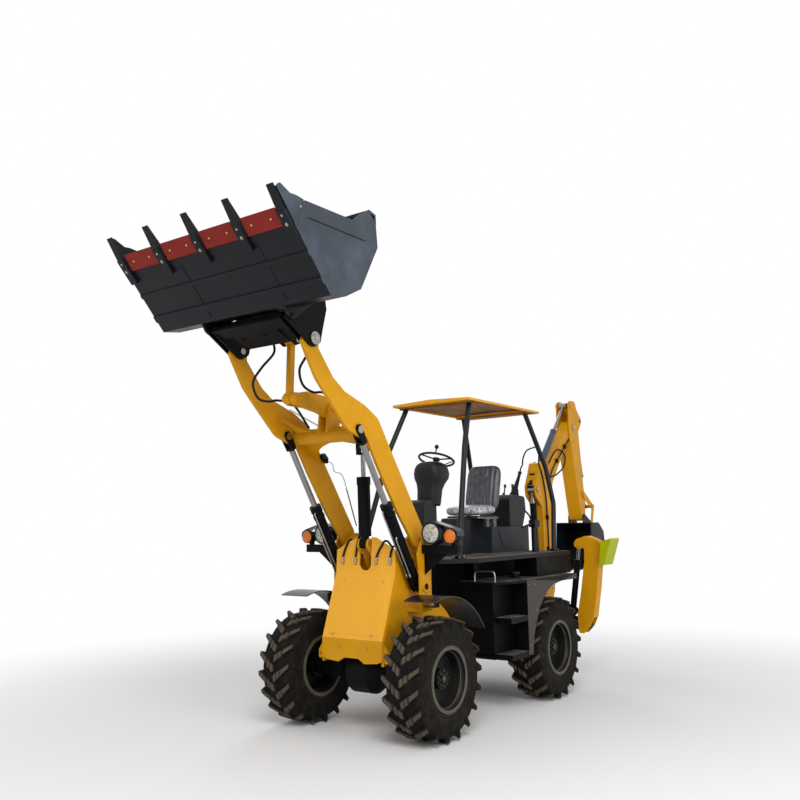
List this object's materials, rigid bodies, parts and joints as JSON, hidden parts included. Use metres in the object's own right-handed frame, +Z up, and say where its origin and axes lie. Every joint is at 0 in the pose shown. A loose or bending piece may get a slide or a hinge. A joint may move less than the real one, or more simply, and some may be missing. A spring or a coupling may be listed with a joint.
{
  "type": "backhoe loader",
  "caption": "Articulated backhoe loader: toothed front bucket on raised arms, canopy over an open deck, folded rear digging arm and side stabiliser legs.",
  "frame": {"origin": "on the ground under the middle of the machine's length and width, as parked", "axes": "+X forward, toward the loader bucket; +Y the machine's left; +Z up"},
  "size_m": [7.3058, 2.322, 4.372],
  "materials": {
    "yellow_paint": "semi-gloss, worn at edges",
    "frame_black": "satin",
    "bucket_grey": "satin, dusty",
    "panel_brown": "satin",
    "tyre_rubber": "matt, dusty",
    "rim_grey": "satin",
    "chrome_rod": "bright",
    "steel_blue": "satin",
    "seat_black": "satin",
    "plastic_black": "matt",
    "lamp_grey": "gloss",
    "edge_steel": "worn",
    "canopy_paint": "semi-gloss"
  },
  "bodies": {
    "rear_body": {"rear_frame": "frame_black", "engine": "frame_black", "engine_cover": "frame_black", "rear_axle": "frame_black", "deck": "frame_black", "side_box_left": "panel_brown", "side_box_right": "panel_brown", "canopy_posts": "frame_black", "canopy_roof": "canopy_paint", "console": "plastic_black", "steering_wheel": "plastic_black", "seat_base": "plastic_black", "seat_pads": "seat_black", "hoe_controls": "plastic_black", "hoe_mount": "frame_black"},
    "front_body": {"front_frame": "yellow_paint", "front_panel": "yellow_paint", "front_axle": "frame_black", "head_lamps": "lamp_grey", "front_fenders": "yellow_paint"},
    "arms_body": {"loader_arms": "yellow_paint"},
    "lift_barrels_body": {"lift_barrels": "frame_black"},
    "lift_rods_body": {"lift_rods": "chrome_rod"},
    "hitch_pins_body": {"hitch_pins": "chrome_rod"},
    "bucket_body": {"quick_hitch": "frame_black", "bucket": "bucket_grey", "bucket_edge": "edge_steel"},
    "rocker_pin_body": {"rocker_pin": "chrome_rod"},
    "rocker_body": {"rocker": "yellow_paint"},
    "link_pin_body": {"link_pin": "chrome_rod"},
    "tilt_link_body": {"tilt_link": "yellow_paint"},
    "tilt_base_body": {"tilt_base_pin": "chrome_rod"},
    "tilt_barrel_body": {"tilt_barrel": "frame_black"},
    "tilt_rod_body": {"tilt_rod": "chrome_rod"},
    "swing_body": {"swing_post": "yellow_paint"},
    "boom_body": {"boom": "yellow_paint"},
    "boom_barrel_body": {"boom_barrel": "frame_black"},
    "boom_rod_body": {"boom_rod": "chrome_rod"},
    "dipper_body": {"dipper": "yellow_paint"},
    "dipper_barrel_body": {"dipper_barrel": "steel_blue"},
    "dipper_rod_body": {"dipper_rod": "chrome_rod"},
    "hoe_bucket_body": {"hoe_bucket": "bucket_grey"},
    "bellcrank_body": {"bellcrank": "yellow_paint"},
    "bucket_link_body": {"bucket_link": "yellow_paint"},
    "hoe_bucket_barrel_body": {"hoe_bucket_barrel": "frame_black"},
    "hoe_bucket_rod_body": {"hoe_bucket_rod": "chrome_rod"},
    "wheel_front_left_body": {"tyre_front_left": "tyre_rubber", "rim_front_left": "rim_grey"},
    "wheel_front_right_body": {"tyre_front_right": "tyre_rubber", "rim_front_right": "rim_grey"},
    "wheel_rear_left_body": {"tyre_rear_left": "tyre_rubber", "rim_rear_left": "rim_grey"},
    "wheel_rear_right_body": {"tyre_rear_right": "tyre_rubber", "rim_rear_right": "rim_grey"},
    "stabiliser_leg_left_body": {"stabiliser_leg_left": "yellow_paint"},
    "stabiliser_barrel_left_body": {"stabiliser_barrel_left": "frame_black"},
    "stabiliser_rod_left_body": {"stabiliser_rod_left": "chrome_rod"},
    "stabiliser_leg_right_body": {"stabiliser_leg_right": "yellow_paint"},
    "stabiliser_barrel_right_body": {"stabiliser_barrel_right": "frame_black"},
    "stabiliser_rod_right_body": {"stabiliser_rod_right": "chrome_rod"}
  },
  "joints": [
    {"name": "articulation", "type": "hinge", "parent": "rear_body", "child": "front_body", "pos_m": [0.314, 0, 0.8], "axis": [0, 0, 1], "range_deg": [-35, 35]},
    {"name": "wheel_front_left", "type": "hinge", "parent": "front_body", "child": "wheel_front_left_body", "pos_m": [1.397, 0.718, 0.525], "axis": [0, 1, 0], "continuous": true},
    {"name": "wheel_front_right", "type": "hinge", "parent": "front_body", "child": "wheel_front_right_body", "pos_m": [1.397, -0.718, 0.525], "axis": [0, 1, 0], "continuous": true},
    {"name": "wheel_rear_left", "type": "hinge", "parent": "rear_body", "child": "wheel_rear_left_body", "pos_m": [-0.77, 0.718, 0.525], "axis": [0, 1, 0], "continuous": true},
    {"name": "wheel_rear_right", "type": "hinge", "parent": "rear_body", "child": "wheel_rear_right_body", "pos_m": [-0.77, -0.718, 0.525], "axis": [0, 1, 0], "continuous": true},
    {"name": "loader_lift", "type": "hinge", "parent": "front_body", "child": "arms_body", "pos_m": [1.147, 0, 1.7], "axis": [0, 1, 0], "range_deg": [0, 88]},
    {"name": "lift_barrel_turn", "type": "hinge", "parent": "front_body", "child": "lift_barrels_body", "pos_m": [1.197, 0, 1.283], "axis": [0, 1, 0], "range_deg": [0, 84.45]},
    {"name": "lift_rod_slide", "type": "slide", "parent": "lift_barrels_body", "child": "lift_rods_body", "axis": [0.5278, 0, 0.8494], "range_m": [-0.578, 0]},
    {"name": "hitch_level", "type": "hinge", "parent": "arms_body", "child": "hitch_pins_body", "pos_m": [2.647, 0, 3.37], "axis": [0, 1, 0], "range_deg": [-88.5, 0]},
    {"name": "rocker_level", "type": "hinge", "parent": "arms_body", "child": "rocker_pin_body", "pos_m": [1.942, 0, 2.9], "axis": [0, 1, 0], "range_deg": [0, 30.68]},
    {"name": "bucket_tilt", "type": "hinge", "parent": "hitch_pins_body", "child": "bucket_body", "pos_m": [2.647, 0, 3.37], "axis": [0, -1, 0], "range_deg": [-85, 0]},
    {"name": "link_level", "type": "hinge", "parent": "bucket_body", "child": "link_pin_body", "pos_m": [2.437, 0, 3.45], "axis": [0, 1, 0], "range_deg": [0, 108.21]},
    {"name": "tilt_base_turn", "type": "hinge", "parent": "front_body", "child": "tilt_base_body", "pos_m": [1.427, 0, 1.677], "axis": [0, 1, 0], "range_deg": [0, 99.64]},
    {"name": "rocker_turn", "type": "hinge", "parent": "rocker_pin_body", "child": "rocker_body", "pos_m": [1.942, 0, 2.9], "axis": [0, 1, 0], "range_deg": [-32.8, 0]},
    {"name": "tilt_link_turn", "type": "hinge", "parent": "link_pin_body", "child": "tilt_link_body", "pos_m": [2.437, 0, 3.45], "axis": [0, 1, 0], "range_deg": [-42.15, 0]},
    {"name": "tilt_barrel_turn", "type": "hinge", "parent": "tilt_base_body", "child": "tilt_barrel_body", "pos_m": [1.427, 0, 1.677], "axis": [0, 1, 0], "range_deg": [0, 14.95]},
    {"name": "tilt_rod_slide", "type": "slide", "parent": "tilt_barrel_body", "child": "tilt_rod_body", "axis": [0.0308, 0, 0.9995], "range_m": [-0.2023, 0]},
    {"name": "hoe_swing", "type": "hinge", "parent": "rear_body", "child": "swing_body", "pos_m": [-1.983, 0, 0.84], "axis": [0, 0, 1], "range_deg": [-70, 70]},
    {"name": "hoe_boom", "type": "hinge", "parent": "swing_body", "child": "boom_body", "pos_m": [-2.283, 0, 1.04], "axis": [0, -1, 0], "range_deg": [0, 88]},
    {"name": "boom_barrel_turn", "type": "hinge", "parent": "swing_body", "child": "boom_barrel_body", "pos_m": [-2.053, 0, 1.18], "axis": [0, -1, 0], "range_deg": [0, 85.92]},
    {"name": "boom_rod_slide", "type": "slide", "parent": "boom_barrel_body", "child": "boom_rod_body", "axis": [0.0467, 0, 0.9989], "range_m": [0, 0.3718]},
    {"name": "hoe_dipper", "type": "hinge", "parent": "boom_body", "child": "dipper_body", "pos_m": [-3.123, 0, 3.13], "axis": [0, 1, 0], "range_deg": [0, 85]},
    {"name": "dipper_barrel_turn", "type": "hinge", "parent": "boom_body", "child": "dipper_barrel_body", "pos_m": [-2.223, 0, 2.545], "axis": [0, 1, 0], "range_deg": [-2.2, 0]},
    {"name": "dipper_rod_slide", "type": "slide", "parent": "dipper_barrel_body", "child": "dipper_rod_body", "axis": [-0.6747, 0, 0.7381], "range_m": [-0.4174, 0]},
    {"name": "hoe_bucket_turn", "type": "hinge", "parent": "dipper_body", "child": "hoe_bucket_body", "pos_m": [-3.323, 0, 1.9], "axis": [0, 1, 0], "range_deg": [-40, 60]},
    {"name": "bellcrank_turn", "type": "hinge", "parent": "dipper_body", "child": "bellcrank_body", "pos_m": [-3.328, 0, 2.22], "axis": [0, 1, 0], "range_deg": [-27.7, 41.3]},
    {"name": "bucket_link_turn", "type": "hinge", "parent": "bellcrank_body", "child": "bucket_link_body", "pos_m": [-3.598, 0, 2.045], "axis": [0, 1, 0], "range_deg": [-53.3, 35.7]},
    {"name": "hoe_bucket_barrel_turn", "type": "hinge", "parent": "dipper_body", "child": "hoe_bucket_barrel_body", "pos_m": [-3.348, 0, 3.24], "axis": [0, 1, 0], "range_deg": [-4.9, 7.1]},
    {"name": "hoe_bucket_rod_slide", "type": "slide", "parent": "hoe_bucket_barrel_body", "child": "hoe_bucket_rod_body", "axis": [-0.2048, 0, -0.9788], "range_m": [-0.1696, 0.1137]},
    {"name": "stabiliser_left", "type": "hinge", "parent": "rear_body", "child": "stabiliser_leg_left_body", "pos_m": [-1.763, 0.775, 0.65], "axis": [-1, 0, 0], "range_deg": [0, 100]},
    {"name": "stabiliser_barrel_turn_left", "type": "hinge", "parent": "rear_body", "child": "stabiliser_barrel_left_body", "pos_m": [-1.763, 0.6, 0.8], "axis": [-1, 0, 0], "range_deg": [0, 94.93]},
    {"name": "stabiliser_rod_slide_left", "type": "slide", "parent": "stabiliser_barrel_left_body", "child": "stabiliser_rod_left_body", "axis": [0, 0.1486, 0.9889], "range_m": [0, 0.3432]},
    {"name": "stabiliser_right", "type": "hinge", "parent": "rear_body", "child": "stabiliser_leg_right_body", "pos_m": [-1.763, -0.775, 0.65], "axis": [1, 0, 0], "range_deg": [0, 100]},
    {"name": "stabiliser_barrel_turn_right", "type": "hinge", "parent": "rear_body", "child": "stabiliser_barrel_right_body", "pos_m": [-1.763, -0.6, 0.8], "axis": [1, 0, 0], "range_deg": [0, 94.93]},
    {"name": "stabiliser_rod_slide_right", "type": "slide", "parent": "stabiliser_barrel_right_body", "child": "stabiliser_rod_right_body", "axis": [0, -0.1486, 0.9889], "range_m": [0, 0.3432]}
  ],
  "couplings": [
    {"joint": "lift_barrel_turn", "follows": "loader_lift", "ratio": 0.954},
    {"joint": "lift_rod_slide", "follows": "loader_lift", "m_per_rad": -0.375},
    {"joint": "hitch_level", "follows": "loader_lift", "ratio": -1},
    {"joint": "rocker_level", "follows": "loader_lift", "ratio": 0.343},
    {"joint": "link_level", "follows": "loader_lift", "ratio": 1.224},
    {"joint": "tilt_base_turn", "follows": "loader_lift", "ratio": 1.1266},
    {"joint": "rocker_turn", "follows": "bucket_tilt", "ratio": 0.38},
    {"joint": "tilt_link_turn", "follows": "bucket_tilt", "ratio": 0.49},
    {"joint": "tilt_barrel_turn", "follows": "bucket_tilt", "ratio": -0.17},
    {"joint": "tilt_rod_slide", "follows": "bucket_tilt", "m_per_rad": 0.135},
    {"joint": "boom_barrel_turn", "follows": "hoe_boom", "ratio": 0.9707},
    {"joint": "boom_rod_slide", "follows": "hoe_boom", "m_per_rad": 0.2408},
    {"joint": "dipper_barrel_turn", "follows": "hoe_dipper", "ratio": -0.02},
    {"joint": "dipper_rod_slide", "follows": "hoe_dipper", "m_per_rad": -0.28},
    {"joint": "bellcrank_turn", "follows": "hoe_bucket_turn", "ratio": 0.68},
    {"joint": "bucket_link_turn", "follows": "hoe_bucket_turn", "ratio": -0.88},
    {"joint": "hoe_bucket_barrel_turn", "follows": "hoe_bucket_turn", "ratio": 0.11},
    {"joint": "hoe_bucket_rod_slide", "follows": "hoe_bucket_turn", "m_per_rad": -0.16},
    {"joint": "stabiliser_barrel_turn_left", "follows": "stabiliser_left", "ratio": 0.9443},
    {"joint": "stabiliser_rod_slide_left", "follows": "stabiliser_left", "m_per_rad": 0.1955},
    {"joint": "stabiliser_barrel_turn_right", "follows": "stabiliser_right", "ratio": 0.9443},
    {"joint": "stabiliser_rod_slide_right", "follows": "stabiliser_right", "m_per_rad": 0.1955}
  ]
}
